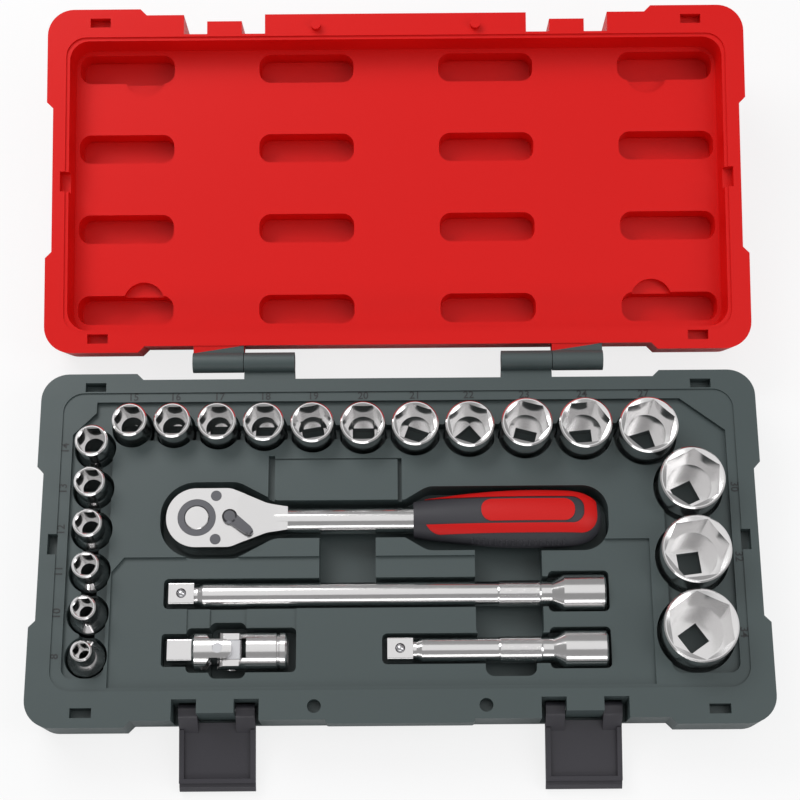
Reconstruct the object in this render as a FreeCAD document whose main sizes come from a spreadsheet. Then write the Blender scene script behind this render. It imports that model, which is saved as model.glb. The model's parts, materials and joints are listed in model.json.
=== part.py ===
import FreeCAD, Part
import math
import os
import Sketcher

# Half-inch socket wrench set in a hinged moulded case, lid open, tools in the tray.
# Frame: X to the right, Y to the hinge, Z up, origin at the middle of the base's underside. Millimetres.

# Driving sizes
SIZES = {
    # case halves
    "case_width": 414.4,
    "case_depth": 203.0,
    "base_height": 34.0,
    "lid_height": 37.0,
    "corner_bump": 3.8,
    "corner_radius": 16.0,
    "front_jog": 151.0,
    "side_jog": 44.0,
    "wall_draft": 4.0,
    "edge_round": 4.0,
    "lip_width": 84.0,
    "lip_reach": 2.3,
    "lip_height": 9.0,
    # tray faces
    "tray_drop": 1.0,
    "border_side": 9.6,
    "border_rear": 8.2,
    "border_front": 16.8,
    "border_radius": 12.0,
    "zone_drop": 2.0,
    "zone_left": 42.0,
    "zone_right": 63.0,
    # hinge
    "hinge_offset": 10.4,
    "hinge_spread": 91.5,
    "knuckle_length": 30.0,
    "knuckle_radius": 6.0,
    "knuckle_gap": 0.4,
    "hinge_pin_radius": 1.6,
    "running_gap": 0.05,
    "open_angle": 166.8,
    # latches
    "latch_spread": 103.8,
    "latch_width": 43.2,
    "latch_length": 46.0,
    "latch_plate": 3.0,
    "latch_pivot_height": 21.0,
    "latch_pivot_inset": 8.0,
    "latch_room": 11.0,
    "window_height": 7.2,
    "latch_pin_radius": 1.5,
    "latch_open_angle": 104.0,
    "catch_height": 24.6,
    "catch_gap": 0.7,
    "tab_width": 21.0,
    "tab_inset": 4.1,
    "notch_gap": 3.0,
    "notch_inset": 12.0,
    # sockets
    "drive_square": 12.7,
    "square_gap": 0.15,
    "socket_wall": 1.45,
    "socket_height": 38.0,
    "tall_socket_height": 42.0,
    "drive_end_diameter": 21.5,
    "drive_depth": 15.0,
    "socket_gap": 4.05,
    "column_gap": 3.3,
    "rim_chamfer": 0.8,
    "pocket_gap": 1.2,
    "pocket_floor": 10.0,
    "pocket_draft": 1.5,
    "left_column_inset": 29.2,
    "right_column_inset": 38.6,
    "row_inset": 19.3,
    "left_column_start": 37.0,
    "right_column_start": 68.6,
    "trench_depth": 3.0,
    "trench_margin": 5.6,
    "link_width": 9.0,
    "link_depth": 12.0,
    # ratchet
    "ratchet_length": 251.0,
    "ratchet_y": 15.2,
    "ratchet_left": -134.2,
    "ratchet_axis_drop": 5.5,
    "head_radius": 17.6,
    "head_thickness": 18.5,
    "head_length": 37.0,
    "neck_length": 70.0,
    "shank_diameter": 15.2,
    "cover_thickness": 2.8,
    "gear_radius": 12.2,
    "gear_height": 11.4,
    "hub_radius": 10.9,
    "button_radius": 7.2,
    "button_travel": 2.5,
    "anvil_length": 15.0,
    "ball_radius": 2.75,
    "ball_proud": 1.0,
    "lever_distance": 19.2,
    "lever_length": 16.6,
    "lever_angle": -37.5,
    "grip_start": 142.7,
    "grip_width": 33.4,
    "grip_thickness": 26.4,
    "grip_neck": 21.4,
    "inlay_proud": 0.5,
    "tool_gap": 0.25,
    # extensions and joint
    "tool_right": 118.0,
    "tool_axis_drop": 7.5,
    "upper_row_y": -28.2,
    "lower_row_y": -61.0,
    "long_length": 250.0,
    "short_length": 125.0,
    "bar_diameter": 14.2,
    "bar_end_diameter": 21.6,
    "bar_end_length": 24.0,
    "flare_length": 6.8,
    "neck_gap": 7.0,
    "knurl_length": 23.0,
    "knurl_proud": 0.4,
    "tip_length": 14.5,
    "universal_left": -131.8,
    "universal_length": 68.0,
    "universal_diameter": 21.6,
    "fork_pin_radius": 2.85,
    "pin_distance": 7.5,
    "fork_gap": 11.4,
    # lid inside
    "lid_cavity_depth": 19.0,
    "lid_cavity_front": 15.5,
    "lid_cavity_rear": 9.8,
    "slot_depth": 14.5,
    "slot_length": 58.0,
    "slot_width": 17.8,
    "slot_pitch_x": 110.0,
    "slot_pitch_y": 49.9,
    "scoop_radius": 12.5,
    "scoop_depth": 5.0,
    "clip_length": 12.2,
    "clip_width": 5.6,
    "clip_depth": 7.0,
    "clip_spread": 179.0,
    "clip_inset": 4.6,
    "peg_radius": 2.9,
    "peg_height": 4.0,
    "peg_spread": 48.3,
    "peg_inset": 7.6,
}

# Hexagon sizes of the sockets in the left column (front to rear), rear row and right column
LEFT_SIZES = (8, 10, 11, 12, 13, 14)
REAR_SIZES = (15, 16, 17, 18, 19, 20, 21, 22, 23, 24, 27)
RIGHT_SIZES = (30, 32, 34)
TALL_FROM = 23
SQUARE_SEEN_FROM = 19
# Turn of each socket in its pocket, in degrees
SOCKET_TURNS = {19: 10, 20: 0, 21: -20, 22: 40, 23: -15, 24: 5, 27: 17, 30: 25, 32: 7, 34: 35}
GEAR_TEETH = 40
HEX_CORNER = 1 / math.cos(math.radians(30))

doc = FreeCAD.newDocument("socket_set")
sheet = doc.addObject("Spreadsheet::Sheet", "Sizes")
for row, (alias, value) in enumerate(SIZES.items(), start=1):
    sheet.set("A%d" % row, alias)
    sheet.set("B%d" % row, str(value))
    sheet.setAlias("B%d" % row, alias)
doc.recompute()


class Size:
    """A length with its number and the spreadsheet expression that it comes from."""

    def __init__(self, text, number):
        self.text = text
        self.number = number

    def join(self, sign, other, number):
        return Size("(%s %s %s)" % (self.text, sign, as_size(other).text), number)

    def __add__(self, other):
        return self.join("+", other, self.number + num(other))

    def __sub__(self, other):
        return self.join("-", other, self.number - num(other))

    def __mul__(self, other):
        return self.join("*", other, self.number * num(other))

    def __truediv__(self, other):
        return self.join("/", other, self.number / num(other))

    def __radd__(self, other):
        return as_size(other) + self

    def __rsub__(self, other):
        return as_size(other) - self

    def __rmul__(self, other):
        return as_size(other) * self

    def __neg__(self):
        return Size("(-1 * %s)" % self.text, -self.number)


def as_size(value):
    return value if isinstance(value, Size) else Size(repr(float(value)), float(value))


def num(value):
    return value.number if isinstance(value, Size) else float(value)


def larger(first, second):
    text = "max(%s; %s)" % (as_size(first).text, as_size(second).text)
    return Size(text, max(num(first), num(second)))


class Named:
    pass


s = Named()
for alias in SIZES:
    setattr(s, alias, Size("Sizes." + alias, float(sheet.get(alias))))

# Directions that a rod, turned piece or profile can take
ALONG_X = FreeCAD.Rotation(FreeCAD.Vector(0, 1, 0), 90)
ALONG_Y = FreeCAD.Rotation(FreeCAD.Vector(1, 0, 0), -90)
ALONG_MINUS_Y = FreeCAD.Rotation(FreeCAD.Vector(1, 0, 0), 90)
UPRIGHT = FreeCAD.Rotation()
SIDE_VIEW = FreeCAD.Rotation(FreeCAD.Vector(1, 1, 1), 120)
FRONT_VIEW = FreeCAD.Rotation(FreeCAD.Vector(1, 0, 0), 90)


def bind(thing, **sizes):
    for name, size in sizes.items():
        thing.setExpression(name, as_size(size).text)
    return thing


def place(thing, x=0, y=0, z=0, turn=UPRIGHT):
    thing.Placement = FreeCAD.Placement(FreeCAD.Vector(num(x), num(y), num(z)), turn)
    for axis, size in zip("xyz", (x, y, z)):
        thing.setExpression("Placement.Base." + axis, as_size(size).text)
    return thing


def box(label, x, y, z):
    thing = doc.addObject("Part::Box", label)
    bind(thing, Length=as_size(x[1]) - x[0], Width=as_size(y[1]) - y[0], Height=as_size(z[1]) - z[0])
    return place(thing, x[0], y[0], z[0])


def rod(label, radius, length, start, turn=UPRIGHT):
    thing = bind(doc.addObject("Part::Cylinder", label), Radius=radius, Height=length)
    return place(thing, *start, turn)


def cone(label, low_radius, high_radius, height, start):
    thing = doc.addObject("Part::Cone", label)
    bind(thing, Radius1=low_radius, Radius2=high_radius, Height=height)
    return place(thing, *start)


def ball(label, radius, centre):
    return place(bind(doc.addObject("Part::Sphere", label), Radius=radius), *centre)


def hexagon(label, across_corners, height, start):
    thing = doc.addObject("Part::Prism", label)
    thing.Polygon = 6
    bind(thing, Circumradius=as_size(across_corners) / 2, Height=height)
    return place(thing, *start)


def fuse(label, *pieces):
    thing = doc.addObject("Part::MultiFuse", label)
    thing.Shapes = list(pieces)
    return thing


def cut(label, whole, *tools):
    thing = doc.addObject("Part::Cut", label)
    thing.Base = whole
    thing.Tool = tools[0] if len(tools) == 1 else fuse(label + "_cuts", *tools)
    return thing


def common(label, *pieces):
    thing = doc.addObject("Part::MultiCommon", label)
    thing.Shapes = list(pieces)
    return thing


def group(label, *pieces):
    thing = doc.addObject("Part::Compound", label)
    thing.Links = list(pieces)
    return thing


def outline(label, corners):
    """Closed sketch through corners (x, y) or (x, y, rounding), every corner held by its own sizes."""
    sketch = doc.addObject("Sketcher::SketchObject", label)
    points = [FreeCAD.Vector(num(c[0]), num(c[1]), 0) for c in corners]
    count = len(corners)
    entries, exits, arcs = [], [], {}
    for i, corner in enumerate(corners):
        into = (points[i] - points[i - 1]).normalize()
        onward = (points[(i + 1) % count] - points[i]).normalize()
        if len(corner) == 2:
            entries.append(points[i])
            exits.append(points[i])
            continue
        turn = math.acos(max(-1.0, min(1.0, into.dot(onward))))
        left_turn = into.cross(onward).z > 0
        reach = num(corner[2]) * math.tan(turn / 2)
        entries.append(points[i] - into * reach)
        exits.append(points[i] + onward * reach)
        inward = FreeCAD.Vector(-into.y, into.x, 0) * (1 if left_turn else -1)
        centre = entries[i] + inward * num(corner[2])
        ends = (entries[i], exits[i]) if left_turn else (exits[i], entries[i])
        angles = [math.atan2(end.y - centre.y, end.x - centre.x) for end in ends]
        circle = Part.Circle(centre, FreeCAD.Vector(0, 0, 1), num(corner[2]))
        arcs[i] = (Part.ArcOfCircle(circle, *angles), 1 if left_turn else 2)
    for i in range(count):
        sketch.addGeometry(Part.LineSegment(exits[i], entries[(i + 1) % count]))
    constraints, formulas = [], []

    def measure(kind, size, *where):
        formulas.append((len(constraints), as_size(size).text))
        constraints.append(Sketcher.Constraint(kind, *where, num(size)))

    for i, corner in enumerate(corners):
        before = (i - 1) % count
        held, spot = i, 1
        if i in arcs:
            arc, entry_end = arcs[i]
            arc_id = sketch.addGeometry(arc)
            held = sketch.addGeometry(Part.Point(points[i]), True)
            constraints.append(Sketcher.Constraint("Tangent", before, 2, arc_id, entry_end))
            constraints.append(Sketcher.Constraint("Tangent", arc_id, 3 - entry_end, i, 1))
            constraints.append(Sketcher.Constraint("PointOnObject", held, 1, before))
            constraints.append(Sketcher.Constraint("PointOnObject", held, 1, i))
            measure("Radius", corner[2], arc_id)
        else:
            constraints.append(Sketcher.Constraint("Coincident", before, 2, i, 1))
        measure("DistanceX", corner[0], -1, 1, held, spot)
        measure("DistanceY", corner[1], -1, 1, held, spot)
    sketch.addConstraint(constraints)
    for index, text in formulas:
        sketch.setExpression("Constraints[%d]" % index, text)
    return sketch


def prism(label, corners, low, high, draft=0, view=UPRIGHT):
    """Outline pushed from low to high: along Z, or along X or -Y for a side or front view."""
    sketch = outline(label + "_outline", corners)
    start = {"UPRIGHT": (0, 0, low), "SIDE": (low, 0, 0), "FRONT": (0, low, 0)}
    kind = "SIDE" if view is SIDE_VIEW else "FRONT" if view is FRONT_VIEW else "UPRIGHT"
    place(sketch, *start[kind], view)
    thing = doc.addObject("Part::Extrusion", label)
    thing.Base = sketch
    thing.DirMode = "Normal"
    thing.Solid = True
    span = as_size(high) - low
    thing.Reversed = num(span) < 0 if kind != "FRONT" else num(span) > 0
    bind(thing, LengthFwd=span if num(span) > 0 else -span, TaperAngle=draft)
    return thing


def rectangle(x, y, rounding=None):
    corners = [(x[0], y[0]), (x[1], y[0]), (x[1], y[1]), (x[0], y[1])]
    return corners if rounding is None else [corner + (rounding,) for corner in corners]


def turned(label, profile, start=(0, 0, 0), turn=UPRIGHT):
    """Profile of (radius, height) corners spun about its own axis, then set in its place."""
    sketch = outline(label + "_profile", profile)
    sketch.Placement = FreeCAD.Placement(FreeCAD.Vector(), FRONT_VIEW)
    thing = doc.addObject("Part::Revolution", label)
    thing.Source = sketch
    thing.Axis = FreeCAD.Vector(0, 0, 1)
    thing.Angle = 360
    thing.Solid = True
    return place(thing, *start, turn)


def rounded_edges(label, whole, radius, chosen):
    doc.recompute()
    thing = doc.addObject("Part::Fillet", label)
    thing.Base = whole
    edges = [i for i, edge in enumerate(whole.Shape.Edges, start=1) if chosen(edge)]
    thing.Edges = [(i, num(radius), num(radius)) for i in edges]
    return thing


def at_height(height):
    return lambda edge: edge.BoundBox.ZMin > num(height) - 0.01 and edge.BoundBox.ZMax < num(height) + 0.01


# Places that follow from the sizes
half_width = s.case_width / 2
half_depth = s.case_depth / 2
parting = s.base_height
tray = parting - s.tray_drop
zone = tray - s.zone_drop
hinge_y = half_depth + s.hinge_offset
nodes = {}


def keep(name, thing):
    thing.Label = name
    nodes[name] = thing
    return thing


def case_outline(shift):
    """Plan of both case halves: straight walls with proud corner blocks."""
    x, y = half_width, half_depth
    bump = s.corner_bump
    jog_x, jog_y = s.front_jog, s.side_jog
    quarter = [
        (x, jog_y), (x + bump, jog_y + bump), (x + bump, y + bump, s.corner_radius),
        (jog_x + bump, y + bump), (jog_x, y),
    ]
    corners = list(quarter)
    corners += [(-c[0],) + c[1:] for c in reversed(quarter)]
    corners += [(-c[0], -c[1]) + c[2:] for c in quarter]
    corners += [(c[0], -c[1]) + c[2:] for c in reversed(quarter)]
    return [(c[0], c[1] - shift) + c[2:] for c in corners]


def knuckles(name, side, shift_y, axis_z):
    """Hinge barrels of one case half with the gusset that carries each of them."""
    pieces = []
    for hand in (-1, 1):
        reach = s.knuckle_length + s.knuckle_gap
        middle = s.hinge_spread - reach / 2 if side == "base" else s.hinge_spread + reach / 2
        low = hand * middle - s.knuckle_length / 2
        label = "%s_%s" % (name, "left" if hand < 0 else "right")
        pieces.append(rod(label + "_barrel", s.knuckle_radius, s.knuckle_length,
                          (low, hinge_y - shift_y, axis_z), ALONG_X))
        wall = half_depth - shift_y - 3
        barrel = hinge_y - shift_y
        lean = 1 if side == "base" else -1
        gusset = [
            (wall, axis_z - lean * 15), (barrel - 2, axis_z - lean * s.knuckle_radius * 0.95),
            (barrel, axis_z), (barrel - s.knuckle_radius * 0.8, axis_z - lean * 0.6),
            (wall, axis_z - lean * 0.6),
        ]
        if side == "lid":
            gusset = list(reversed(gusset))
        pieces.append(prism(label + "_gusset", gusset, low, low + s.knuckle_length, view=SIDE_VIEW))
    return pieces


# Latch places, in the closed pose
pivot_y = s.latch_pivot_inset - half_depth
pivot_z = s.latch_pivot_height
latch_half = s.latch_width / 2
tab_half = s.tab_width / 2
notch_half = latch_half + s.notch_gap


def latch_recesses(name, low_z, high_z, shift_y, ledge_z=None):
    """Front recess for each latch, deeper beside the tab and, on the lid, above the catch."""
    pieces = []
    front = -half_depth - s.corner_bump - shift_y
    face = s.tab_inset - half_depth - shift_y
    back = s.notch_inset - half_depth - shift_y
    for hand in (-1, 1):
        middle = hand * s.latch_spread
        label = "%s_%s" % (name, "left" if hand < 0 else "right")
        pieces.append(box(label + "_face", (middle - notch_half, middle + notch_half), (front, face),
                          (low_z, high_z)))
        for side in (-1, 1):
            near, far = middle + side * tab_half, middle + side * notch_half
            span = (near, far) if side > 0 else (far, near)
            pieces.append(box("%s_notch_%s" % (label, "a" if side < 0 else "b"), span, (front, back),
                              (low_z, high_z)))
        if ledge_z is not None:
            pieces.append(box(label + "_catch", (middle - notch_half, middle + notch_half),
                              (front, back), (ledge_z, high_z)))
    return pieces


def clip_slots(name, top_z, shift_y):
    """Small snap slots along the rim of a case half."""
    spots = []
    for hand in (-1, 1):
        for row in (-1, 1):
            spots.append((hand * s.clip_spread, row * (half_depth - s.clip_inset), 0))
        spots.append((hand * (half_width - s.clip_inset - s.clip_width / 2), as_size(1.0), 1))
    pieces = []
    for i, (x, y, upright) in enumerate(spots):
        long_half, short_half = s.clip_length / 2, s.clip_width / 2
        dx, dy = (short_half, long_half) if upright else (long_half, short_half)
        low, high = (top_z - s.clip_depth, top_z + 1) if name == "base" else (top_z - 1, top_z + s.clip_depth)
        pieces.append(box("%s_clip_%d" % (name, i), (x - dx, x + dx), (y - dy - shift_y, y + dy - shift_y),
                          (low, high)))
    return pieces


# Sockets: sizes and places in the tray


def rim_diameter(hex_size):
    return hex_size * HEX_CORNER + 2 * s.socket_wall


def body_diameter(hex_size):
    return larger(rim_diameter(hex_size), s.drive_end_diameter)


def socket_places():
    """Centre of each socket: a straight left column, a row with level rear rims, a right column."""
    places = {}
    x = s.left_column_inset - half_width
    y = s.left_column_start - half_depth
    for hex_size in LEFT_SIZES:
        places[hex_size] = (x, y)
        y = y + s.drive_end_diameter + s.column_gap
    x = x + s.drive_end_diameter
    last = None
    for hex_size in REAR_SIZES:
        radius = rim_diameter(hex_size) / 2
        if last is not None:
            x = x + last + radius + s.socket_gap
        places[hex_size] = (x, half_depth - s.row_inset - radius)
        last = radius
    x = half_width - s.right_column_inset
    y = half_depth - s.right_column_start
    last = None
    for hex_size in RIGHT_SIZES:
        radius = rim_diameter(hex_size) / 2
        if last is not None:
            y = y - last - radius - s.column_gap
        places[hex_size] = (x, y)
        last = radius
    return places


places = socket_places()


def socket(hex_size):
    """One socket standing on its drive end: turned outside, hexagon above, square drive below."""
    name = "socket_%02d" % hex_size
    height = s.tall_socket_height if hex_size >= TALL_FROM else s.socket_height
    rim = rim_diameter(hex_size) / 2
    foot = larger(s.drive_end_diameter / 2, rim * 0.8)
    edge = s.rim_chamfer
    shoulder = s.drive_depth + 3
    profile = [
        (0, 0), (foot - edge, 0), (foot, edge), (foot, shoulder), (rim, shoulder + 5),
        (rim, height - edge), (rim - edge, height), (0, height),
    ]
    outside = turned(name + "_outside", profile)
    across = hex_size * HEX_CORNER + 2 * s.square_gap
    hex_depth = height * 0.42
    corner = as_size(across) / 2
    mouth = turned(name + "_mouth", [
        (0, height - hex_depth), (corner * 0.84, height - hex_depth), (corner * 0.84, height - edge),
        (corner, height + 0.01), (0, height + 0.01),
    ])
    bore_radius = as_size(hex_size * 0.44)
    bore = rod(name + "_bore", bore_radius, height, (0, 0, s.drive_depth * 0.5))
    cuts = [hexagon(name + "_hexagon", across, hex_depth + 1, (0, 0, height - hex_depth)), mouth, bore]
    half = s.drive_square / 2 + s.square_gap
    top = s.drive_depth if hex_size < SQUARE_SEEN_FROM else height - hex_depth
    cuts.append(box(name + "_square", (-half, half), (-half, half), (-1, top)))
    piece = cut(name, outside, *cuts)
    turn = FreeCAD.Rotation(FreeCAD.Vector(0, 0, 1), SOCKET_TURNS.get(hex_size, 0))
    place(piece, *places[hex_size], s.pocket_floor, turn)
    return keep(name, piece)


def socket_pockets():
    """Trench, linking channels and one drafted pocket for each socket."""
    pieces = []
    height = tray - s.pocket_floor
    for hex_size, (x, y) in places.items():
        radius = body_diameter(hex_size) / 2 + s.pocket_gap
        pieces.append(cone("pocket_%02d" % hex_size, radius - s.pocket_draft + 0.6, radius + 0.6, height + 1,
                           (x, y, s.pocket_floor)))
    floor = tray - s.trench_depth
    first_x, first_y = places[LEFT_SIZES[0]]
    left_radius = s.drive_end_diameter / 2
    row_rear = half_depth - s.row_inset + s.trench_margin
    left_edge = first_x - left_radius - s.trench_margin + 3
    right_x, right_y = places[RIGHT_SIZES[0]]
    last_x, last_y = places[RIGHT_SIZES[-1]]
    right_radius = rim_diameter(RIGHT_SIZES[-1]) / 2
    right_edge = last_x + right_radius + 2.4
    corner = row_rear - 20
    bend = 6
    pieces.append(prism("trench_left", [
        (left_edge, first_y - left_radius - 2, bend), (first_x + left_radius, first_y - left_radius - 2, bend),
        (first_x + left_radius, row_rear - 12), (first_x + left_radius, row_rear),
        (left_edge + 20, row_rear), (left_edge, corner),
    ], floor, parting + 1))
    pieces.append(prism("trench_rear", [
        (first_x, row_rear - 24), (places[27][0] + 4, row_rear - 24), (places[27][0] + 4, row_rear),
        (first_x, row_rear),
    ], floor, parting + 1))
    pieces.append(prism("trench_right", [
        (right_x - 15, last_y - right_radius - 2, bend), (right_edge, last_y - right_radius - 2, bend),
        (right_edge, corner), (right_edge - 26, row_rear), (right_x - 15, row_rear),
    ], floor, parting + 1))
    link = s.link_width / 2
    deep = tray - s.link_depth
    last_left_y = places[LEFT_SIZES[-1]][1]
    row_y = places[REAR_SIZES[-1]][1] + 4
    pieces.append(box("link_left", (first_x - link, first_x + link), (first_y, last_left_y), (deep, parting + 1)))
    pieces.append(box("link_rear", (places[REAR_SIZES[0]][0], places[REAR_SIZES[-1]][0]),
                      (row_y - link, row_y + link), (deep, parting + 1)))
    pieces.append(box("link_right", (right_x - link, right_x + link), (last_y, right_y), (deep, parting + 1)))
    return pieces


# Ratchet places
axis_z = tray - s.ratchet_axis_drop + 1
nose_x = s.ratchet_left
spin_x = nose_x + s.head_radius
head_top = axis_z + s.head_thickness / 2
head_low = axis_z - s.head_thickness / 2
grip_x = nose_x + s.grip_start
grip_end = nose_x + s.ratchet_length
lever_x = spin_x + s.lever_distance
row_y = s.ratchet_y

# Extension and joint places
bar_z = tray - s.tool_axis_drop + 1
bar_radius = s.bar_diameter / 2
bar_end_radius = s.bar_end_diameter / 2
joint_radius = s.universal_diameter / 2
joint_left = s.universal_left
joint_right = joint_left + s.universal_length


def tool_pockets():
    """Recesses for the ratchet, both extensions, the universal joint and the fingers that lift them."""
    top = parting + 1
    pieces = []
    side = s.head_radius + 5.2
    slim = s.shank_diameter / 2 + 3.8
    wide = s.grip_width / 2 + 2.6
    neck_x = nose_x + s.neck_length
    plan = [
        (nose_x - 4, row_y - side, side * 0.9), (nose_x + s.head_length + 4, row_y - side, 14),
        (neck_x - 8, row_y - slim, 14), (grip_x - 5, row_y - slim, 3), (grip_x + 8, row_y - wide, 12),
        (grip_end + 4.5, row_y - wide, 15),
    ]
    plan += [(c[0], 2 * row_y - c[1]) + c[2:] for c in reversed(plan)]
    floor = axis_z - s.grip_thickness / 2 - s.tool_gap
    pieces.append(prism("ratchet_pocket", plan, floor, top))
    well = s.drive_square * 0.75 + 1.5
    pieces.append(rod("drive_well", well, floor, (spin_x, row_y, head_low - s.anvil_length - 2)))
    for name, length, y in (("long", s.long_length, s.upper_row_y), ("short", s.short_length, s.lower_row_y)):
        left = s.tool_right - length
        slim = bar_radius + 1.8
        wide = bar_end_radius + 1.2
        step = s.tool_right - s.bar_end_length - s.flare_length - 2
        rod_floor = bar_z - bar_radius - s.knurl_proud - s.tool_gap
        end_floor = bar_z - bar_end_radius - s.tool_gap
        pieces.append(prism(name + "_bar_pocket", rectangle((left - 3, step + 4), (y - slim, y + slim), 3),
                            rod_floor, top))
        pieces.append(prism(name + "_end_pocket", rectangle((step, s.tool_right + 2), (y - wide, y + wide), 3),
                            end_floor, top))
    y = s.lower_row_y
    wide = joint_radius + 2.2
    slim = s.drive_square * 0.75
    grasp = joint_radius + 5.6
    pin_x = joint_left + 29
    pieces.append(prism("joint_tip_pocket", rectangle((joint_left - 3.5, joint_left + 12), (y - slim, y + slim), 2),
                        bar_z - joint_radius - s.tool_gap, top))
    pieces.append(prism("joint_pocket", rectangle((joint_left + 10.5, joint_right + 5), (y - wide, y + wide), 3),
                        bar_z - joint_radius - s.tool_gap, top))
    pieces.append(prism("joint_grasp", rectangle((pin_x - 5.5, pin_x + 15.5), (y - grasp, y + grasp), 4),
                        bar_z - joint_radius - 4, top))
    deep = bar_z - bar_end_radius - 1.5
    grip_mid = grip_x + 54
    pieces.append(prism("shank_grasp", rectangle((nose_x + 88.2, nose_x + 120.7), (s.upper_row_y, row_y), 3),
                        deep, top))
    pieces.append(prism("grip_grasp", rectangle((grip_mid - 19, grip_mid + 19.6), (y + 8, row_y), 3), deep, top))
    pieces.append(prism("bar_grasp", rectangle((grip_mid - 14, grip_mid + 15), (y - bar_radius - 9, y + 8), 5),
                        deep, top))
    ridge_low = s.lower_row_y + joint_radius
    ridge_high = s.upper_row_y - bar_radius
    pieces.append(box("ridge_step", (joint_left + 10.5, joint_right + 5), (ridge_low, ridge_high), (zone - 1.2, top)))
    pieces.append(box("ridge_dip", (pin_x - 5.5, pin_x + 15.5), (ridge_low, ridge_high), (zone - 2.6, top)))
    shelf_y = row_y + s.shank_diameter / 2
    pieces.append(box("shelf_groove_left", (nose_x + 58.3, nose_x + 62), (shelf_y, shelf_y + 31), (tray - 4, top)))
    pieces.append(box("shelf_groove_right", (nose_x + 133.6, nose_x + 136), (shelf_y, shelf_y + 29), (tray - 4, top)))
    pieces.append(box("shelf_line", (nose_x + 60, nose_x + 135), (shelf_y + 28.2, shelf_y + 29.2), (tray - 1, top)))
    return pieces


def case_base():
    """Moulded base: drafted tub with the tray's faces, pockets, latch notches and hinge knuckles."""
    tub = prism("base_tub", case_outline(0), parting, 0, -s.wall_draft)
    tub = rounded_edges("base_tub_rounded", tub, s.edge_round, at_height(0))
    lip = prism("front_lip", rectangle((-s.lip_width / 2, s.lip_width / 2),
                                       (-half_depth - s.lip_reach, 4 - half_depth), 2),
                parting - s.lip_height, parting)
    solid = fuse("base_solid", tub, lip, *knuckles("base_hinge", "base", as_size(0), parting))
    x = half_width - s.border_side
    low, high = s.border_front - half_depth, half_depth - s.border_rear
    top = parting + 1
    cuts = [prism("tray_face", rectangle((-x, x), (low, high), s.border_radius), tray, top)]
    left, right = s.zone_left - half_width, half_width - s.zone_right
    step_x = grip_x + 54
    cuts.append(prism("tool_zone", [
        (left, low + 2), (right, low + 2), (right, row_y - 13), (step_x, row_y - 13), (step_x, row_y - 22.2),
        (left + 7, row_y - 22.2), (left, row_y - 30.8),
    ], zone, top))
    cuts += socket_pockets()
    cuts += tool_pockets()
    cuts += latch_recesses("base_latch", pivot_z - s.latch_room, top, as_size(0))
    cuts += clip_slots("base", parting, as_size(0))
    for hand in (-1, 1):
        label = "left" if hand < 0 else "right"
        cuts.append(rod("peg_hole_" + label, s.peg_radius + 1, s.peg_height + 3,
                        (hand * s.peg_spread, s.peg_inset - half_depth, parting - s.peg_height - 2)))
        cuts.append(rod("base_pin_bore_" + label, s.hinge_pin_radius + 0.01, s.knuckle_length + 10,
                        (hand * s.hinge_spread - s.knuckle_length / 2 - 5 - hand * s.knuckle_length / 2,
                         hinge_y, parting), ALONG_X))
        cuts.append(rod("tab_bore_" + label, s.latch_pin_radius + 0.01, s.tab_width + 2,
                        (hand * s.latch_spread - tab_half - 1, pivot_y, pivot_z), ALONG_X))
    return keep("case_base", cut("case_base", solid, *cuts))


def case_lid():
    """Moulded lid, drawn closed about its hinge axis and then swung open."""
    shift = hinge_y
    shell = prism("lid_shell", case_outline(shift), 0, s.lid_height, -s.wall_draft)
    shell = rounded_edges("lid_shell_rounded", shell, s.edge_round, at_height(s.lid_height))
    pegs = []
    for hand in (-1, 1):
        pegs.append(rod("lid_peg_left" if hand < 0 else "lid_peg_right", s.peg_radius, s.peg_height + 4,
                        (hand * s.peg_spread, s.peg_inset - half_depth - shift, -s.peg_height)))
    solid = fuse("lid_solid", shell, *pegs, *knuckles("lid_hinge", "lid", shift, as_size(0)))
    x = half_width - s.border_side
    low = s.lid_cavity_front - half_depth - shift
    high = half_depth - s.lid_cavity_rear - shift
    depth = s.lid_cavity_depth
    cuts = [prism("lid_cavity", rectangle((-x, x), (low, high), s.border_radius), 0, depth, -s.wall_draft)]
    cuts.append(prism("lid_rim_step", rectangle((2 - x - 4, x + 2), (low - 2, high + 2), s.border_radius), -1, 1.2))
    middle = (low + high) / 2
    for column in range(4):
        for line in range(4):
            cx = (column - 1.5) * s.slot_pitch_x
            cy = middle + (line - 1.5) * s.slot_pitch_y - 1
            span = ((cx - s.slot_length / 2, cx + s.slot_length / 2),
                    (cy - s.slot_width / 2, cy + s.slot_width / 2))
            cuts.append(prism("lid_slot_%d_%d" % (column, line), rectangle(*span, s.slot_width * 0.4),
                              depth - 1, depth + s.slot_depth, -3))
    for column in (-1, 1):
        for line in (-1, 1):
            cuts.append(rod("lid_scoop_%d_%d" % (column + 1, line + 1), s.scoop_radius, s.scoop_depth + 1,
                            (column * 1.4 * s.slot_pitch_x, middle - 1 + line * (1.5 * s.slot_pitch_y - 4.5),
                             depth - 1)))
    cuts += latch_recesses("lid_latch", as_size(-1), s.lid_height + 1, shift, s.catch_height)
    cuts += clip_slots("lid", as_size(0), shift)
    for hand in (-1, 1):
        cuts.append(rod("lid_pin_bore_left" if hand < 0 else "lid_pin_bore_right",
                        s.hinge_pin_radius + s.running_gap, s.knuckle_length + 10,
                        (hand * s.hinge_spread - s.knuckle_length / 2 - 5 + hand * s.knuckle_length / 2, 0, 0),
                        ALONG_X))
    lid = cut("case_lid", solid, *cuts)
    place(lid, 0, hinge_y, parting, FreeCAD.Rotation(FreeCAD.Vector(1, 0, 0), -num(s.open_angle)))
    lid.setExpression("Placement.Rotation.Angle", (-s.open_angle).text)
    return keep("case_lid", lid)


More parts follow.
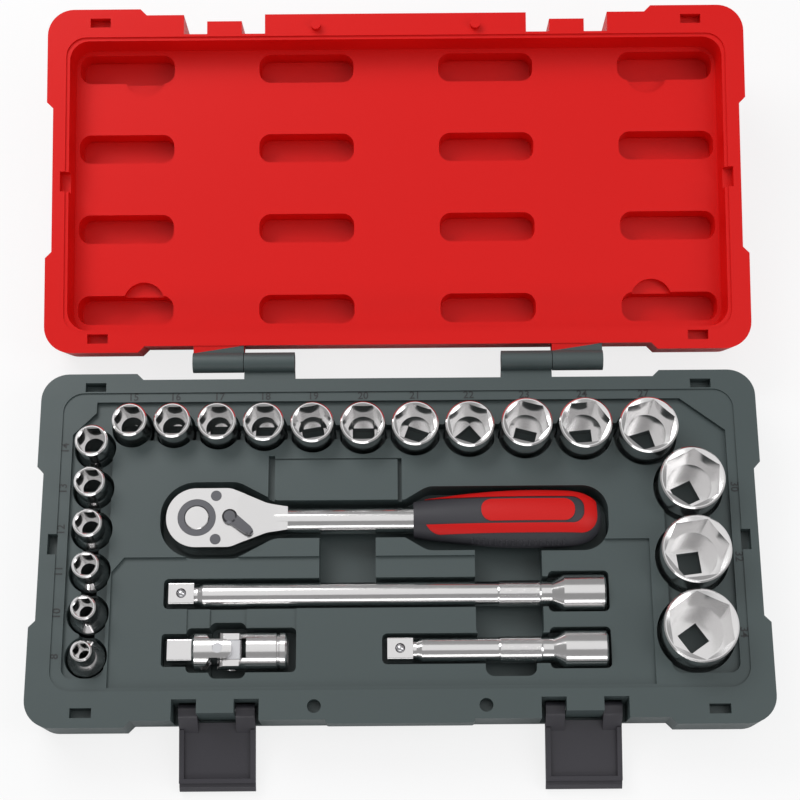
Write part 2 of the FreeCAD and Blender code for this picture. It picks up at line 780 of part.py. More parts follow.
def latch(name, hand):
    """Draw latch, drawn closed about its pivot and then swung out."""
    outer = -s.latch_pivot_inset + 0.2
    inner = outer + s.latch_plate
    end = s.latch_length
    hook = parting + s.catch_height - pivot_z + s.catch_gap
    plate = prism(name + "_plate", [
        (outer, 2), (inner, 2), (inner, hook), (inner + 2.6, hook), (inner + 2.6, hook + 2.6),
        (inner, hook + 2.6), (inner, end - 2.5, 1.5), (outer + 1, end, 0.8), (outer - 1.8, end, 0.8),
        (outer, end - 4, 3),
    ], -latch_half, latch_half, view=SIDE_VIEW)
    pieces = [plate]
    lug = s.latch_pin_radius + 2.0
    for side in (-1, 1):
        label = "%s_%s" % (name, "a" if side < 0 else "b")
        near = side * (tab_half + 0.35)
        far = side * latch_half
        span = (near, far) if side > 0 else (far, near)
        pieces.append(prism(label + "_lug", [
            (outer, 2), (-lug, -lug, lug * 0.9), (lug, -lug, lug * 0.9), (lug, lug, lug * 0.9),
            (inner, 13), (outer, 13),
        ], *span, view=SIDE_VIEW))
        wall = side * (latch_half - 2.8)
        span = (wall, far) if side > 0 else (far, wall)
        pieces.append(box(label + "_rail", span, (outer, inner + 2.4), (11, hook)))
    bore = rod(name + "_bore", s.latch_pin_radius + s.running_gap, s.latch_width + 4,
               (-latch_half - 2, 0, 0), ALONG_X)
    window = box(name + "_window", (-tab_half - 0.35, tab_half + 0.35), (outer - 1, inner + 1), (0, s.window_height))
    piece = cut(name, fuse(name + "_solid", *pieces), bore, window)
    swing = FreeCAD.Rotation(FreeCAD.Vector(1, 0, 0), num(s.latch_open_angle))
    place(piece, hand * s.latch_spread, pivot_y, pivot_z, swing)
    piece.setExpression("Placement.Rotation.Angle", s.latch_open_angle.text)
    return keep(name, piece)


def hinge_hardware():
    pins, latch_pins = [], []
    for hand in (-1, 1):
        label = "left" if hand < 0 else "right"
        length = 2 * s.knuckle_length - 2
        pins.append(rod("hinge_pin_" + label, s.hinge_pin_radius, length,
                        (hand * s.hinge_spread - length / 2, hinge_y, parting), ALONG_X))
        reach = latch_half - 1
        latch_pins.append(rod("latch_pin_" + label, s.latch_pin_radius, 2 * reach,
                              (hand * s.latch_spread - reach, pivot_y, pivot_z), ALONG_X))
    keep("hinge_pins", group("hinge_pins", *pins))
    keep("latch_pins", group("latch_pins", *latch_pins))


def ratchet():
    """Reversible ratchet, lying with its square drive down."""
    half = s.head_radius
    slim = s.shank_diameter / 2
    plan = [
        (nose_x, row_y - half, half * 0.98), (nose_x + s.head_length, row_y - half, 12),
        (nose_x + s.head_length + 21, row_y - slim - 1.2, 20), (nose_x + s.neck_length, row_y - slim * 0.9),
    ]
    plan += [(c[0], 2 * row_y - c[1]) + c[2:] for c in reversed(plan)]
    blank = prism("head_blank", plan, head_low, head_top)
    side = [
        (nose_x - 1, head_low), (nose_x + s.head_length + 4, head_low, 20),
        (nose_x + s.neck_length - 6, axis_z - slim * 0.96), (nose_x + s.neck_length + 1, axis_z - slim * 0.96),
    ]
    side += [(c[0], 2 * axis_z - c[1]) + c[2:] for c in reversed(side)]
    profile = prism("head_side", side, row_y + 40, row_y - 40, view=FRONT_VIEW)
    head = common("head_forging", blank, profile)
    shank = rod("shank", slim, s.grip_start - s.neck_length + 8, (nose_x + s.neck_length - 8, row_y, axis_z), ALONG_X)
    tang = rod("tang", slim - 1.8, 52, (grip_x - 2, row_y, axis_z), ALONG_X)
    deck = head_top - s.cover_thickness
    edge = [
        (nose_x + s.head_length + 8.7, half + 2), (nose_x + s.head_length + 8.7, half - 3.5),
        (lever_x - 4.5, 5.2, 3),
    ]
    seam = [(x, row_y - y) + tuple(r) for x, y, *r in edge] + [(x, row_y + y) + tuple(r) for x, y, *r in reversed(edge)]
    cover_zone = seam + [(nose_x - 3, row_y + half + 2), (nose_x - 3, row_y - half - 2)]
    recess = prism("cover_recess", cover_zone, deck, head_top + 1)
    gear_top = deck - 0.2
    gear_low = gear_top - s.gear_height
    gear_bore = rod("gear_bore", s.gear_radius + 0.4, s.gear_height + 0.5 + 2, (spin_x, row_y, gear_low - 0.3))
    journal = s.hub_radius - 0.8
    journal_bore = rod("journal_bore", journal + s.running_gap, 30, (spin_x, row_y, head_low - 5))
    pawl_room = rod("pawl_room", s.lever_distance - s.gear_radius + 0.2, s.gear_height, (lever_x, row_y, gear_low))
    lever_bore = rod("lever_bore", 2.4 + s.running_gap, s.head_thickness, (lever_x, row_y, gear_low + 2))
    plunger_bore = rod("plunger_bore", 1.6, 22, (lever_x, row_y, axis_z), ALONG_X)
    screw_spots = [(spin_x + 11.0, row_y + 13.0), (spin_x + 11.0, row_y - 13.0)]
    threads = [rod("thread_%d" % i, 1.6, 12, (x, y, deck - 8)) for i, (x, y) in enumerate(screw_spots)]
    body = cut("ratchet_body", fuse("ratchet_forging", head, shank, tang), recess, gear_bore, journal_bore,
               pawl_room, lever_bore, plunger_bore, *threads)
    keep("ratchet_body", body)
    plate = common("cover_plate", prism("cover_blank", plan, deck, head_top),
                   prism("cover_edge", cover_zone, deck, head_top))
    heads = [rod("screw_seat_%d" % i, 3.15, 5, (x, y, head_top - 1.8)) for i, (x, y) in enumerate(screw_spots)]
    shafts = [rod("screw_way_%d" % i, 1.6, 9, (x, y, deck - 4)) for i, (x, y) in enumerate(screw_spots)]
    opening = rod("hub_opening", s.hub_radius + 0.15, 12, (spin_x, row_y, deck - 5))
    keep("ratchet_cover", cut("ratchet_cover", plate, opening, *heads, *shafts))
    screws = []
    for i, (x, y) in enumerate(screw_spots):
        profile = [(0, -9.5), (1.5, -9.5), (1.5, -1.75), (3.05, -1.75), (3.05, -0.05), (0, -0.05)]
        screws.append(turned("cover_screw_%d" % i, profile, (x, y, head_top)))
    keep("cover_screws", group("cover_screws", *screws))
    drive_train(gear_low, journal)
    reversing_lever(gear_top, gear_low)
    grip(slim)


def drive_train(gear_low, journal):
    """Toothed drive with its square, and the push button that frees the detent ball."""
    teeth = []
    outer, root = num(s.gear_radius), num(s.gear_radius) - 0.9
    for i in range(2 * GEAR_TEETH):
        angle = math.pi * i / GEAR_TEETH
        radius = outer if i % 2 == 0 else root
        teeth.append(FreeCAD.Vector(radius * math.cos(angle), radius * math.sin(angle), 0))
    ring = doc.addObject("Part::Feature", "gear_teeth")
    ring.Shape = Part.Face(Part.makePolygon(teeth + teeth[:1])).extrude(FreeCAD.Vector(0, 0, num(s.gear_height)))
    place(ring, spin_x, row_y, gear_low)
    seat = 3.4
    hub = turned("drive_hub", [
        (0, head_low - 0.4), (journal, head_low - 0.4), (journal, gear_low + 1), (s.hub_radius, gear_low + 1),
        (s.hub_radius, head_top - 0.05), (0, head_top - 0.05),
    ], (spin_x, row_y, 0))
    half = s.drive_square / 2
    tip = head_low - s.anvil_length
    square = prism("anvil_square", rectangle((spin_x - half, spin_x + half), (row_y - half, row_y + half), 1.2),
                   tip, head_low + 1)
    stem = 2.3
    spring_floor = head_top - seat - 6.0
    well = rod("button_well", s.button_radius + 0.1, 20, (spin_x, row_y, spring_floor))
    channel = rod("stem_channel", stem + 0.1, 60, (spin_x, row_y, tip + 1.2))
    ball_z = tip + s.anvil_length / 2
    ball_way = rod("ball_way", s.ball_radius + 0.06, half + 2, (spin_x, row_y, ball_z), ALONG_MINUS_Y)
    keep("drive_gear", cut("drive_gear", fuse("drive_blank", ring, hub, square), well, channel, ball_way))
    top = head_top + 0.3
    waist = ball_z + 5.5
    button = turned("release_button", [
        (0, ball_z - 3.2), (0.75, ball_z - 3.2), (0.75, waist), (stem, waist + 2), (stem, top - seat),
        (s.button_radius, top - seat), (s.button_radius, top - 0.6), (s.button_radius - 0.6, top), (0, top),
    ], (spin_x, row_y, 0))
    keep("release_button", button)
    spring = turned("release_spring", [
        (stem + 0.6, spring_floor), (5.6, spring_floor), (5.6, top - seat), (stem + 0.6, top - seat),
    ], (spin_x, row_y, 0))
    keep("release_spring", spring)
    keep("drive_ball", ball("drive_ball", s.ball_radius,
                            (spin_x, row_y - half - s.ball_proud + s.ball_radius, ball_z)))


def reversing_lever(gear_top, gear_low):
    """Thumb lever on its shaft, the pawl that it turns, and the sprung plunger behind the pawl."""
    top = head_top + 0.2
    shaft = rod("lever_shaft", 2.4, top - gear_low - 1, (0, 0, gear_low + 1))
    boss = turned("lever_boss", [(0, top), (4.4, top), (4.4, top + 2.0), (3.2, top + 3.0), (0, top + 3.0)])
    arm = prism("lever_arm", [
        (0, -3.6), (s.lever_length - 3, -2.6, 1.5), (s.lever_length, -1.2, 1), (s.lever_length, 1.2, 1),
        (s.lever_length - 3, 2.6, 1.5), (0, 3.6),
    ], top, top + 2.2)
    thumb = prism("lever_thumb", rectangle((s.lever_length - 3.4, s.lever_length - 0.6), (-1.9, 1.9), 0.8),
                  top + 1, top + 3.4)
    lever = fuse("reverse_lever", shaft, boss, arm, thumb)
    place(lever, lever_x, row_y, 0, FreeCAD.Rotation(FreeCAD.Vector(0, 0, 1), num(s.lever_angle)))
    keep("reverse_lever", lever)
    room = s.lever_distance - s.gear_radius
    cam = room - 0.6
    disc = prism("pawl_blank", [
        (-cam * 0.98, -cam * 0.72, 1), (cam * 0.3, -cam * 0.9, 2), (cam * 0.8, 0, 2), (cam * 0.3, cam * 0.9, 2),
        (-cam * 0.98, cam * 0.72, 1),
    ], gear_low + 1.2, gear_top - 1.2)
    disc = common("pawl_round", disc, rod("pawl_reach", cam, 40, (0, 0, gear_low - 5)))
    pawl = cut("reversing_pawl", disc, rod("pawl_bore", 2.4 + 0.01, 40, (0, 0, gear_low - 5)))
    place(pawl, lever_x, row_y, 0)
    keep("reversing_pawl", pawl)
    rest = lever_x + room + 0.4
    plunger = turned("pawl_plunger", [(0, 0), (0.9, 0), (1.5, 0.7), (1.5, 4.5), (0, 4.5)], (rest, row_y, axis_z), ALONG_X)
    keep("pawl_plunger", plunger)
    spring = turned("pawl_spring", [(0.8, 0), (1.5, 0), (1.5, 9.5), (0.8, 9.5)], (rest + 4.5, row_y, axis_z), ALONG_X)
    keep("pawl_spring", spring)


def grip(slim):
    """Two-colour handle: dark core lofted along the tang, with a proud band and panel let into its top."""
    stations = [
        (grip_x, s.grip_neck / 2, s.grip_neck / 2 - 0.4),
        (grip_x + 22, s.grip_width * 0.41, s.grip_thickness * 0.45),
        (grip_x + 58, s.grip_width / 2, s.grip_thickness / 2),
        (grip_end - 22, s.grip_width * 0.495, s.grip_thickness * 0.495),
        (grip_end - 9, s.grip_width * 0.43, s.grip_thickness * 0.44),
        (grip_end - 2.5, s.grip_width * 0.30, s.grip_thickness * 0.32),
        (grip_end, s.grip_width * 0.16, s.grip_thickness * 0.18),
    ]

    def handle(label, extra):
        sections = []
        for i, (x, wide, tall) in enumerate(stations):
            ring = doc.addObject("Part::Ellipse", "%s_%d" % (label, i))
            bind(ring, MajorRadius=wide + extra, MinorRadius=tall + extra)
            place(ring, x, row_y, axis_z, SIDE_VIEW)
            sections.append(ring)
        thing = doc.addObject("Part::Loft", label)
        thing.Sections = sections
        thing.Solid = True
        return thing

    core = handle("grip_form", as_size(0))
    skin = handle("grip_skin", s.inlay_proud)
    bore = rod("tang_bore", slim - 1.8 + 0.02, 51, (grip_x - 1, row_y, axis_z), ALONG_X)
    keep("grip_core", cut("grip_core", core, bore))
    wide = s.grip_width / 2
    top = axis_z + s.grip_thickness
    outer = prism("band_outer", rectangle((grip_x + 6, grip_end - 2.4), (row_y - wide * 0.64, row_y + wide * 1.06), 10),
                  axis_z + 2, top)
    inner = prism("band_inner", rectangle((grip_x - 20, grip_end - 10), (row_y - wide * 0.33, row_y + wide * 0.66), 7),
                  axis_z - 5, top + 1)
    band = common("band_zone", skin, cut("band_plan", outer, inner))
    keep("grip_band", cut("grip_band", band, core))
    panel = prism("panel_plan", rectangle((grip_x + 39, grip_end - 15.5), (row_y - wide * 0.25, row_y + wide * 0.57), 6.2),
                  axis_z + 2, top)
    keep("grip_panel", cut("grip_panel", common("panel_zone", skin, panel), core))


def detent(name, x, y, z, down):
    """Ball and spring of a drive tip, with the blind bore that holds them."""
    depth = 9.0
    face = s.drive_square / 2
    bore = rod(name + "_ball_bore", s.ball_radius + 0.06, depth, (x, y, z + down * (face + 1 - depth / 2) - depth / 2))
    keep(name + "_ball", ball(name + "_ball", s.ball_radius, (x, y, z + down * (face + s.ball_proud - s.ball_radius))))
    low = z + down * (face + 1 - depth)
    high = z + down * (face + s.ball_proud - 2 * s.ball_radius)
    start = low if down > 0 else high
    length = (high - low) * down
    profile = [(0.9, 0), (2.3, 0), (2.3, length), (0.9, length)]
    keep(name + "_spring", turned(name + "_spring", profile, (x, y, start)))
    return bore


def extension(name, length, y):
    """Turned extension bar: square tip with ball, slim bar, knurled band and square-socket end."""
    slim, end = bar_radius, bar_end_radius
    tip = s.tip_length
    flare = length - s.bar_end_length
    knurl = flare - s.flare_length - s.neck_gap
    profile = [
        (0, tip - 2), (slim - 1.6, tip - 2), (slim - 1.2, tip + 2), (slim, tip + 5), (slim, knurl - s.knurl_length - 1),
        (slim + s.knurl_proud, knurl - s.knurl_length), (slim + s.knurl_proud, knurl), (slim, knurl + 1),
        (slim, flare - s.flare_length),
        (end, flare), (end, length - 1), (end - 1, length), (0, length),
    ]
    left = s.tool_right - length
    bar = turned(name + "_bar", profile, (left, y, bar_z), ALONG_X)
    half = s.drive_square / 2
    square = prism(name + "_tip", rectangle((y - half, y + half), (bar_z - half, bar_z + half), 1.0), left, left + tip,
                   view=SIDE_VIEW)
    inner = half + s.square_gap
    mouth = box(name + "_mouth", (s.tool_right - s.tip_length - 1.5, s.tool_right + 1), (y - inner, y + inner),
                (bar_z - inner, bar_z + inner))
    bore = detent(name, left + tip / 2, y, bar_z, 1)
    keep(name, cut(name, fuse(name + "_blank", bar, square), mouth, bore))


def universal_joint():
    """Drive fork, block with its two crossed pins, and socket fork."""
    y, z = s.lower_row_y, bar_z
    radius = joint_radius
    first = joint_left + 28.8
    second = first + s.pin_distance
    gap = s.fork_gap / 2
    arm = gap - 0.3
    round_end = 8.0
    half = s.drive_square / 2
    neck = joint_left + s.tip_length - 0.5
    square = prism("joint_tip", rectangle((y - half, y + half), (z - half, z + half), 1.0), joint_left, neck + 1,
                   view=SIDE_VIEW)
    barrel = turned("joint_drive_barrel", [(0, 0), (radius - 1.5, 0), (radius, 1.5), (radius, 24), (0, 24)],
                    (neck, y, z), ALONG_X)
    root = first - 9.6
    plan = prism("drive_arm_plan", [
        (neck - 1, y - radius - 1), (root + 1, y - radius - 1), (root + 5, y - arm), (first + round_end, y - arm, 4.5),
        (first + round_end, y + arm, 4.5), (root + 5, y + arm), (root + 1, y + radius + 1), (neck - 1, y + radius + 1),
    ], z - 20, z + 20)
    arms = common("drive_arms", barrel, plan)
    slot = box("drive_slot", (root, joint_right), (y - 20, y + 20), (z - gap, z + gap))
    bore = rod("drive_pin_bore", s.fork_pin_radius + s.running_gap, 40, (first, y, z - 20))
    ball_bore = detent("universal", joint_left + s.tip_length / 2, y, z, -1)
    keep("universal_drive_fork", cut("universal_drive_fork", fuse("drive_fork_blank", square, arms), slot, bore, ball_bore))
    back = second + 9.4
    shell = turned("joint_socket_barrel", [
        (0, -20), (radius, -20), (radius, joint_right - back - 6), (radius - 0.7, joint_right - back - 5.3),
        (radius - 0.7, joint_right - back - 4.7), (radius, joint_right - back - 4),
        (radius, joint_right - back - 1), (radius - 1, joint_right - back), (0, joint_right - back),
    ], (back, y, z), ALONG_X)
    side = prism("socket_arm_side", [
        (second - round_end, z - arm, 4.5), (back - 5, z - arm), (back - 1, z - radius - 1), (joint_right + 1, z - radius - 1),
        (joint_right + 1, z + radius + 1), (back - 1, z + radius + 1), (back - 5, z + arm), (second - round_end, z + arm, 4.5),
    ], y + 20, y - 20, view=FRONT_VIEW)
    forked = common("socket_arms", shell, side)
    slot = box("socket_slot", (second - 20, back - 0.6), (y - gap, y + gap), (z - 20, z + 20))
    inner = half + s.square_gap
    mouth = box("joint_mouth", (joint_right - s.tip_length, joint_right + 1), (y - inner, y + inner), (z - inner, z + inner))
    bore = rod("socket_pin_bore", s.fork_pin_radius + s.running_gap, 40, (second, y - 20, z), ALONG_Y)
    keep("universal_socket_fork", cut("universal_socket_fork", forked, slot, mouth, bore))
    block_half = gap - 0.3
    block = prism("joint_block_blank", rectangle((first - 6.2, second + 6.2), (z - block_half, z + block_half), 2),
                  y + block_half, y - block_half, view=FRONT_VIEW)
    pin_fit = s.fork_pin_radius + 0.01
    keep("universal_block", cut("universal_block", block, rod("block_bore_a", pin_fit, 40, (first, y, z - 20)),
                                rod("block_bore_b", pin_fit, 40, (second, y - 20, z), ALONG_Y)))
    reach = radius - 0.6
    keep("universal_pins", group("universal_pins",
                                 rod("pin_upright", s.fork_pin_radius, 2 * reach, (first, y, z - reach)),
                                 rod("pin_level", s.fork_pin_radius, 2 * reach, (second, y - reach, z), ALONG_Y)))


case_base()
case_lid()
latch("left_latch", -1)
latch("right_latch", 1)
hinge_hardware()
for hex_size in LEFT_SIZES + REAR_SIZES + RIGHT_SIZES:
    socket(hex_size)
ratchet()
extension("long_extension", s.long_length, s.upper_row_y)
extension("short_extension", s.short_length, s.lower_row_y)
universal_joint()
doc.recompute()

# Every object has to be sound before anything is written
failed = [thing.Label for thing in doc.Objects if {"Invalid", "Error"} & set(thing.State)]
for name, thing in nodes.items():
    if thing.Shape.isNull() or not thing.Shape.isValid() or not thing.Shape.Solids:
        failed.append(name)
if failed:
    raise SystemExit("failed: " + ", ".join(failed))

os.makedirs("parts", exist_ok=True)
for name, thing in nodes.items():
    thing.Shape.exportStep("parts/%s.step" % name)
    print(name, len(thing.Shape.Solids), round(thing.Shape.Volume))
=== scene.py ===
import json
import math

import bmesh
import bpy
from mathutils import Matrix, Vector


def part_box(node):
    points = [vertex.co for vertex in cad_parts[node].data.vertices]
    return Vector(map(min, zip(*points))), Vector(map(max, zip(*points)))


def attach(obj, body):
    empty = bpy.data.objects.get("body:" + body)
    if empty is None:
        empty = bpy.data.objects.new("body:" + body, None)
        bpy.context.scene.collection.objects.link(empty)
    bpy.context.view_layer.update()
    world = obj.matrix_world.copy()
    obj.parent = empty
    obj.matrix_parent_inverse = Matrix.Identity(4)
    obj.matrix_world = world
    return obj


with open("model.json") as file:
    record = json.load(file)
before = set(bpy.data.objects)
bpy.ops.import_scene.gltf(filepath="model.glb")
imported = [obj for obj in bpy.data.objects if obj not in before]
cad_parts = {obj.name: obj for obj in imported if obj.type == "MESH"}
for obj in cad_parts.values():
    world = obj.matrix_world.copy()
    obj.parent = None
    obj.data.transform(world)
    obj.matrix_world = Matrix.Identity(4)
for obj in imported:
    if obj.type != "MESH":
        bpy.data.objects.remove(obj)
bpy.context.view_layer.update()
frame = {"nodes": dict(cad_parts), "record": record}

nodes = frame["nodes"]
scene = bpy.context.scene
mm = 0.001  # metres in a millimetre
print("frame loaded:", len(nodes), "nodes")


class Wire:
    # wraps an output socket, so that shader maths reads like ordinary maths

    def __init__(self, tree, socket):
        self.tree = tree
        self.socket = socket

    @staticmethod
    def node(tree, kind, inputs, output=0, **settings):
        made = tree.nodes.new(kind)
        for name, value in settings.items():
            setattr(made, name, value)
        for key, value in inputs.items():
            if isinstance(value, Wire):
                tree.links.new(value.socket, made.inputs[key])
            else:
                made.inputs[key].default_value = value
        return Wire(tree, made.outputs[output])

    def maths(self, operation, first, second):
        return Wire.node(self.tree, "ShaderNodeMath", {0: first, 1: second}, operation=operation)

    def __add__(self, other):
        return self.maths("ADD", self, other)

    def __radd__(self, other):
        return self.maths("ADD", other, self)

    def __sub__(self, other):
        return self.maths("SUBTRACT", self, other)

    def __rsub__(self, other):
        return self.maths("SUBTRACT", other, self)

    def __mul__(self, other):
        return self.maths("MULTIPLY", self, other)

    def __rmul__(self, other):
        return self.maths("MULTIPLY", other, self)


noiseMiddle = 0.5  # mean value of a noise texture


def makeMaterial(name, look):
    # plastic, rubber or metal with a fine grain in its roughness and its normal
    material = bpy.data.materials.new(name)
    material.use_nodes = True
    tree = material.node_tree
    shader = tree.nodes["Principled BSDF"]
    shader.inputs["Base Color"].default_value = look["color"] + (1.0,)
    shader.inputs["Metallic"].default_value = look["metallic"]
    shader.inputs["Specular IOR Level"].default_value = look["specular"]
    where = Wire.node(tree, "ShaderNodeTexCoord", {}, "Object")
    grain = Wire.node(tree, "ShaderNodeTexNoise",
                      {"Vector": where, "Scale": look["grain"], "Detail": look["grainDetail"]})
    cloud = Wire.node(tree, "ShaderNodeTexNoise",
                      {"Vector": where, "Scale": look["cloud"], "Detail": look["cloudDetail"]})
    rough = (look["rough"] + look["roughSpread"] * (cloud - noiseMiddle)
             + look["roughGrain"] * (grain - noiseMiddle))
    tree.links.new(rough.socket, shader.inputs["Roughness"])
    bump = Wire.node(tree, "ShaderNodeBump",
                     {"Height": grain, "Strength": look["bump"], "Distance": look["depth"]})
    tree.links.new(bump.socket, shader.inputs["Normal"])
    return material


# colours are linear, grain and cloud are noise scales, depth is in metres
surface = {"specular": 0.5, "grainDetail": 3.0, "cloudDetail": 4.0}
plastic = {**surface, "metallic": 0.0, "grain": 2600.0, "cloud": 30.0, "roughSpread": 0.1,
           "roughGrain": 0.12, "bump": 0.25, "depth": 0.00012}
metal = {**surface, "metallic": 1.0, "grain": 900.0, "cloud": 60.0, "roughSpread": 0.06,
         "roughGrain": 0.03, "bump": 0.04, "depth": 0.00003}
looks = {
    "case_base": {**plastic, "color": (0.050, 0.070, 0.071), "rough": 0.48},
    "case_lid": {**plastic, "color": (0.66, 0.004, 0.003), "rough": 0.42, "specular": 0.2},
    "latch": {**plastic, "color": (0.036, 0.034, 0.042), "rough": 0.42},
    "steel": {**metal, "color": (0.62, 0.62, 0.64), "rough": 0.26},
    "dark_steel": {**metal, "color": (0.12, 0.12, 0.13), "rough": 0.3},
    "chrome": {**metal, "color": (0.75, 0.74, 0.74), "rough": 0.17},
    "grip_dark": {**plastic, "color": (0.030, 0.029, 0.036), "rough": 0.55},
    "grip_red": {**plastic, "color": (0.58, 0.006, 0.005), "rough": 0.45, "specular": 0.25},
    # numbers: painted shade, darker than the tray, where the moulded numbers show only by their
    # shading
    "number": {**plastic, "color": (0.012, 0.014, 0.016), "rough": 0.5},
}
materials = {name: makeMaterial(name, look) for name, look in looks.items()}

for entry in frame["record"]["subparts"]:
    part = nodes[entry["node"]].data
    part.materials.clear()
    part.materials.append(materials[entry["material_slot"]])
print("materials set:", len(materials))


def boxCentre(node):
    low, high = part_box(node)
    return (low + high) / 2


# the lid's hinge barrels are dark like the base
barrel = {"reach": 8.6 * mm, "outerX": 123.0 * mm}
hingeAxis = boxCentre("hinge_pins")
lid = nodes["case_lid"].data
lid.materials.append(materials["case_base"])
barrelSlot = len(lid.materials) - 1
for face in lid.polygons:
    fromAxis = math.hypot(face.center.y - hingeAxis.y, face.center.z - hingeAxis.z)
    if abs(face.center.x) <= barrel["outerX"] and fromAxis < barrel["reach"]:
        face.material_index = barrelSlot
print("hinge barrels coloured")


def addPiece(name, mesh, body, material):
    piece = bpy.data.objects.new(name, mesh)
    scene.collection.objects.link(piece)
    mesh.materials.append(materials[material])
    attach(piece, body)


def toMesh(form, name):
    mesh = bpy.data.meshes.new(name)
    form.to_mesh(mesh)
    form.free()
    return mesh


# size numbers moulded on the tray beside the sockets, in the tray's own plastic; their darker
# colour is painted shade, standing in for the shading that shows the real numbers
numbers = {
    "height": 6.4 * mm, "bold": 0.08 * mm, "raise": 0.15 * mm, "curveSteps": 3,
    "trayTop": 33.0 * mm, "rearY": 90.7 * mm, "leftX": -195.3 * mm, "rightX": 195.2 * mm,
    "leftTurn": math.radians(90), "rearTurn": 0.0, "rightTurn": math.radians(-90),
    "left": (8, 10, 11, 12, 13, 14),
    "rear": (15, 16, 17, 18, 19, 20, 21, 22, 23, 24, 27),
    "right": (30, 32, 34),
}


def addNumber(size, x, y, turn):
    curve = bpy.data.curves.new("number", "FONT")
    curve.body = str(size)
    curve.size = numbers["height"]
    curve.align_x = "CENTER"
    curve.align_y = "CENTER"
    curve.extrude = numbers["raise"]
    curve.offset = numbers["bold"]
    curve.resolution_u = numbers["curveSteps"]
    holder = bpy.data.objects.new("number", curve)
    scene.collection.objects.link(holder)
    bpy.context.view_layer.update()
    shaped = holder.evaluated_get(bpy.context.evaluated_depsgraph_get())
    mesh = bpy.data.meshes.new_from_object(shaped)
    bpy.data.objects.remove(holder)
    place = Matrix.Translation((x, y, numbers["trayTop"]))
    mesh.transform(place @ Matrix.Rotation(turn, 4, "Z"))
    mesh.materials.clear()
    addPiece("number_%02d" % size, mesh, "base", "number")


def socketCentre(size):
    return boxCentre("socket_%02d" % size)


for size in numbers["left"]:
    addNumber(size, numbers["leftX"], socketCentre(size).y, numbers["leftTurn"])
for size in numbers["rear"]:
    addNumber(size, socketCentre(size).x, numbers["rearY"], numbers["rearTurn"])
for size in numbers["right"]:
    addNumber(size, numbers["rightX"], socketCentre(size).y, numbers["rightTurn"])
print("size numbers made")

# fine ribs along the grip's front edge, under its red band, each set on the grip's own surface
ribs = {"count": 17, "startX": 40.0 * mm, "pitch": 3.5 * mm, "away": 40.0 * mm,
        "rise": math.radians(24), "size": (1.3 * mm, 4.4 * mm, 0.9 * mm), "bevel": 0.3 * mm,
        "bevelSteps": 2}


def addRibs():
    axis = boxCentre("ratchet_body")
    aside = ribs["away"] * math.cos(ribs["rise"])
    above = ribs["away"] * math.sin(ribs["rise"])
    form = bmesh.new()
    for i in range(ribs["count"]):
        outside = Vector((ribs["startX"] + i * ribs["pitch"], axis.y - aside, axis.z + above))
        spot, normal = nodes["grip_core"].closest_point_on_mesh(outside)[1:3]
        lean = Matrix.Rotation(math.atan2(-normal.y, normal.z), 4, "X")
        shape = Matrix.Translation(spot) @ lean @ Matrix.Diagonal((*ribs["size"], 1.0))
        grown = bmesh.ops.create_cube(form, size=1.0)["verts"]
        bmesh.ops.transform(form, matrix=shape, verts=grown)
    bmesh.ops.bevel(form, geom=form.edges[:], offset=ribs["bevel"], offset_type="OFFSET",
                    segments=ribs["bevelSteps"], profile=0.5, affect="EDGES", material=-1)
    addPiece("grip_ribs", toMesh(form, "grip_ribs"), "ratchet", "grip_dark")


addRibs()
print("grip ribs made")

# knurled bands on the extension bars: crossed grooves cut into a thin sleeve
knurl = {"radius": 7.55 * mm, "depth": 0.32 * mm, "length": 23.0 * mm, "endGap": 37.8 * mm,
         "starts": 24, "around": 96, "along": 44}


def knurlRadius(turn, lead):
    waves = [abs(math.sin(knurl["starts"] / 2 * (turn + hand * lead))) for hand in (-1, 1)]
    return knurl["radius"] - knurl["depth"] * (1 - min(waves))


def addKnurl(node):
    axis = boxCentre(node)
    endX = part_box(node)[1].x - knurl["endGap"]
    form = bmesh.new()
    bmesh.ops.create_cone(form, cap_ends=True, segments=knurl["around"], radius1=knurl["radius"],
                          radius2=knurl["radius"], depth=knurl["length"])
    # the lengthwise edges join one end to the other
    lengthwise = [edge for edge in form.edges if edge.calc_length() > knurl["length"] / 2]
    bmesh.ops.subdivide_edges(form, edges=lengthwise, cuts=knurl["along"] - 1)
    for point in form.verts:
        turn = math.atan2(point.co.y, point.co.x)
        fromEnd = knurl["length"] / 2 - point.co.z
        radius = knurlRadius(turn, fromEnd / knurl["radius"])
        point.co = (endX - fromEnd, axis.y + radius * math.cos(turn),
                    axis.z + radius * math.sin(turn))
    bmesh.ops.recalc_face_normals(form, faces=form.faces)
    addPiece(node + "_knurl", toMesh(form, node + "_knurl"), node, "chrome")


addKnurl("long_extension")
addKnurl("short_extension")
print("knurled bands made")

# camera of the photograph, fitted to the case's corners: place in mm, turns in degrees
shot = {"lens": 87.75, "sensor": 36.0, "place": (3.1, -300.9, 1118.7), "pitch": 19.704,
        "yaw": 0.255, "roll": -0.463, "nearest": 0.01, "farthest": 50.0}
cameraData = bpy.data.cameras.new("camera")
cameraData.sensor_width = shot["sensor"]
cameraData.lens = shot["lens"]
cameraData.clip_start = shot["nearest"]
cameraData.clip_end = shot["farthest"]
camera = bpy.data.objects.new("camera", cameraData)
scene.collection.objects.link(camera)
camera.matrix_world = (Matrix.Translation(Vector(shot["place"]) * mm)
                       @ Matrix.Rotation(math.radians(shot["roll"]), 4, "Z")
                       @ Matrix.Rotation(math.radians(shot["pitch"]), 4, "X")
                       @ Matrix.Rotation(math.radians(shot["yaw"]), 4, "Y"))
scene.camera = camera
print("camera placed")

# pale floor, just under the case, that glows for the camera so that it looks white
ground = {"size": 6.0, "drop": 0.5 * mm, "color": (0.86, 0.86, 0.87), "rough": 0.9, "glow": 0.8}


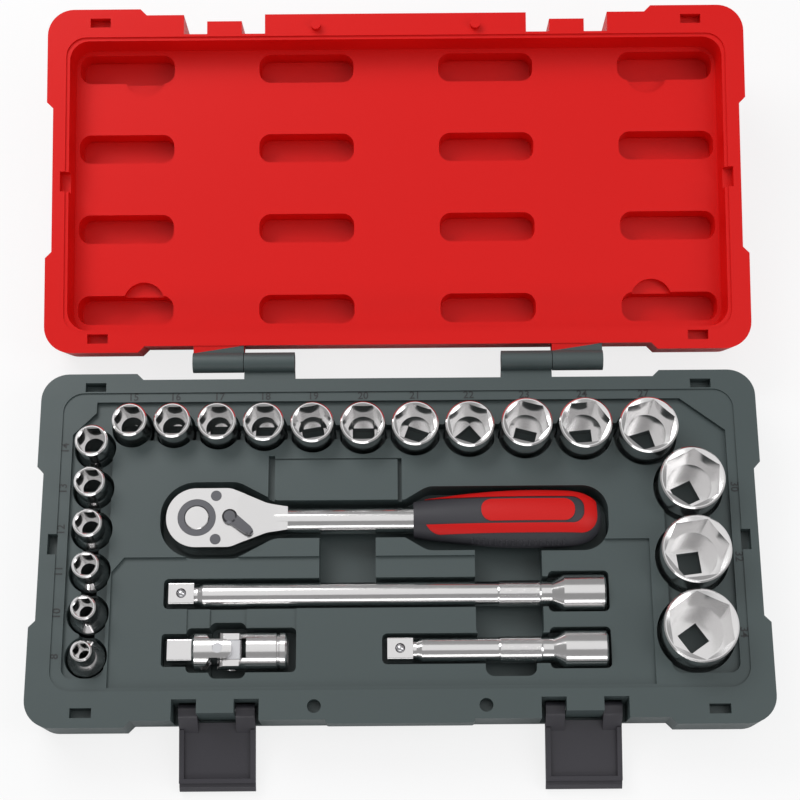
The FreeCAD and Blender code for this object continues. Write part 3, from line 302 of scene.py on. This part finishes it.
def addFloor():
    form = bmesh.new()
    bmesh.ops.create_grid(form, x_segments=1, y_segments=1, size=ground["size"] / 2)
    floor = bpy.data.objects.new("floor", toMesh(form, "floor"))
    floor.location.z = -ground["drop"]
    scene.collection.objects.link(floor)
    material = bpy.data.materials.new("floor")
    material.use_nodes = True
    tree = material.node_tree
    shader = tree.nodes["Principled BSDF"]
    shader.inputs["Base Color"].default_value = ground["color"] + (1.0,)
    shader.inputs["Roughness"].default_value = ground["rough"]
    seen = Wire.node(tree, "ShaderNodeLightPath", {}, "Is Camera Ray")
    glow = Wire.node(tree, "ShaderNodeEmission", {})
    plain = Wire(tree, shader.outputs[0])
    mixed = Wire.node(tree, "ShaderNodeMixShader", {0: seen * ground["glow"], 1: plain, 2: glow})
    tree.links.new(mixed.socket, tree.nodes["Material Output"].inputs["Surface"])
    floor.data.materials.append(material)


addFloor()

# soft studio light: lamp places, aims and sizes in metres, power in watts
sky = {"color": (1.0, 1.0, 1.0, 1.0), "strength": 0.34}
lamps = {
    "topLight": {"place": (0.0, 0.35, 1.9), "aim": (0, 0.1, 0), "size": (2.6, 1.8), "power": 8.5},
    "keyLight": {"place": (-0.55, 0.75, 1.0), "aim": (0, 0.1, 0), "size": (0.9, 0.5), "power": 8.0},
    "fillLight": {"place": (0.9, -0.2, 0.9), "aim": (0, 0, 0), "size": (0.5, 0.9), "power": 3.5},
    "frontLight": {"place": (-0.2, -1.0, 0.5), "aim": (0, 0, 0), "size": (1.2, 0.3), "power": 2.5},
}
world = bpy.data.worlds.new("studio")
scene.world = world
world.use_nodes = True
background = world.node_tree.nodes["Background"]
background.inputs["Color"].default_value = sky["color"]
background.inputs["Strength"].default_value = sky["strength"]


def addLamp(name, lamp):
    data = bpy.data.lights.new(name, "AREA")
    data.shape = "RECTANGLE"
    data.size, data.size_y = lamp["size"]
    data.energy = lamp["power"]
    holder = bpy.data.objects.new(name, data)
    holder.location = lamp["place"]
    holder.rotation_mode = "QUATERNION"
    ray = Vector(lamp["aim"]) - Vector(lamp["place"])
    holder.rotation_quaternion = ray.to_track_quat("-Z", "Y")
    scene.collection.objects.link(holder)


for name, lamp in lamps.items():
    addLamp(name, lamp)
scene.view_settings.view_transform = "Standard"
print("floor and light made")
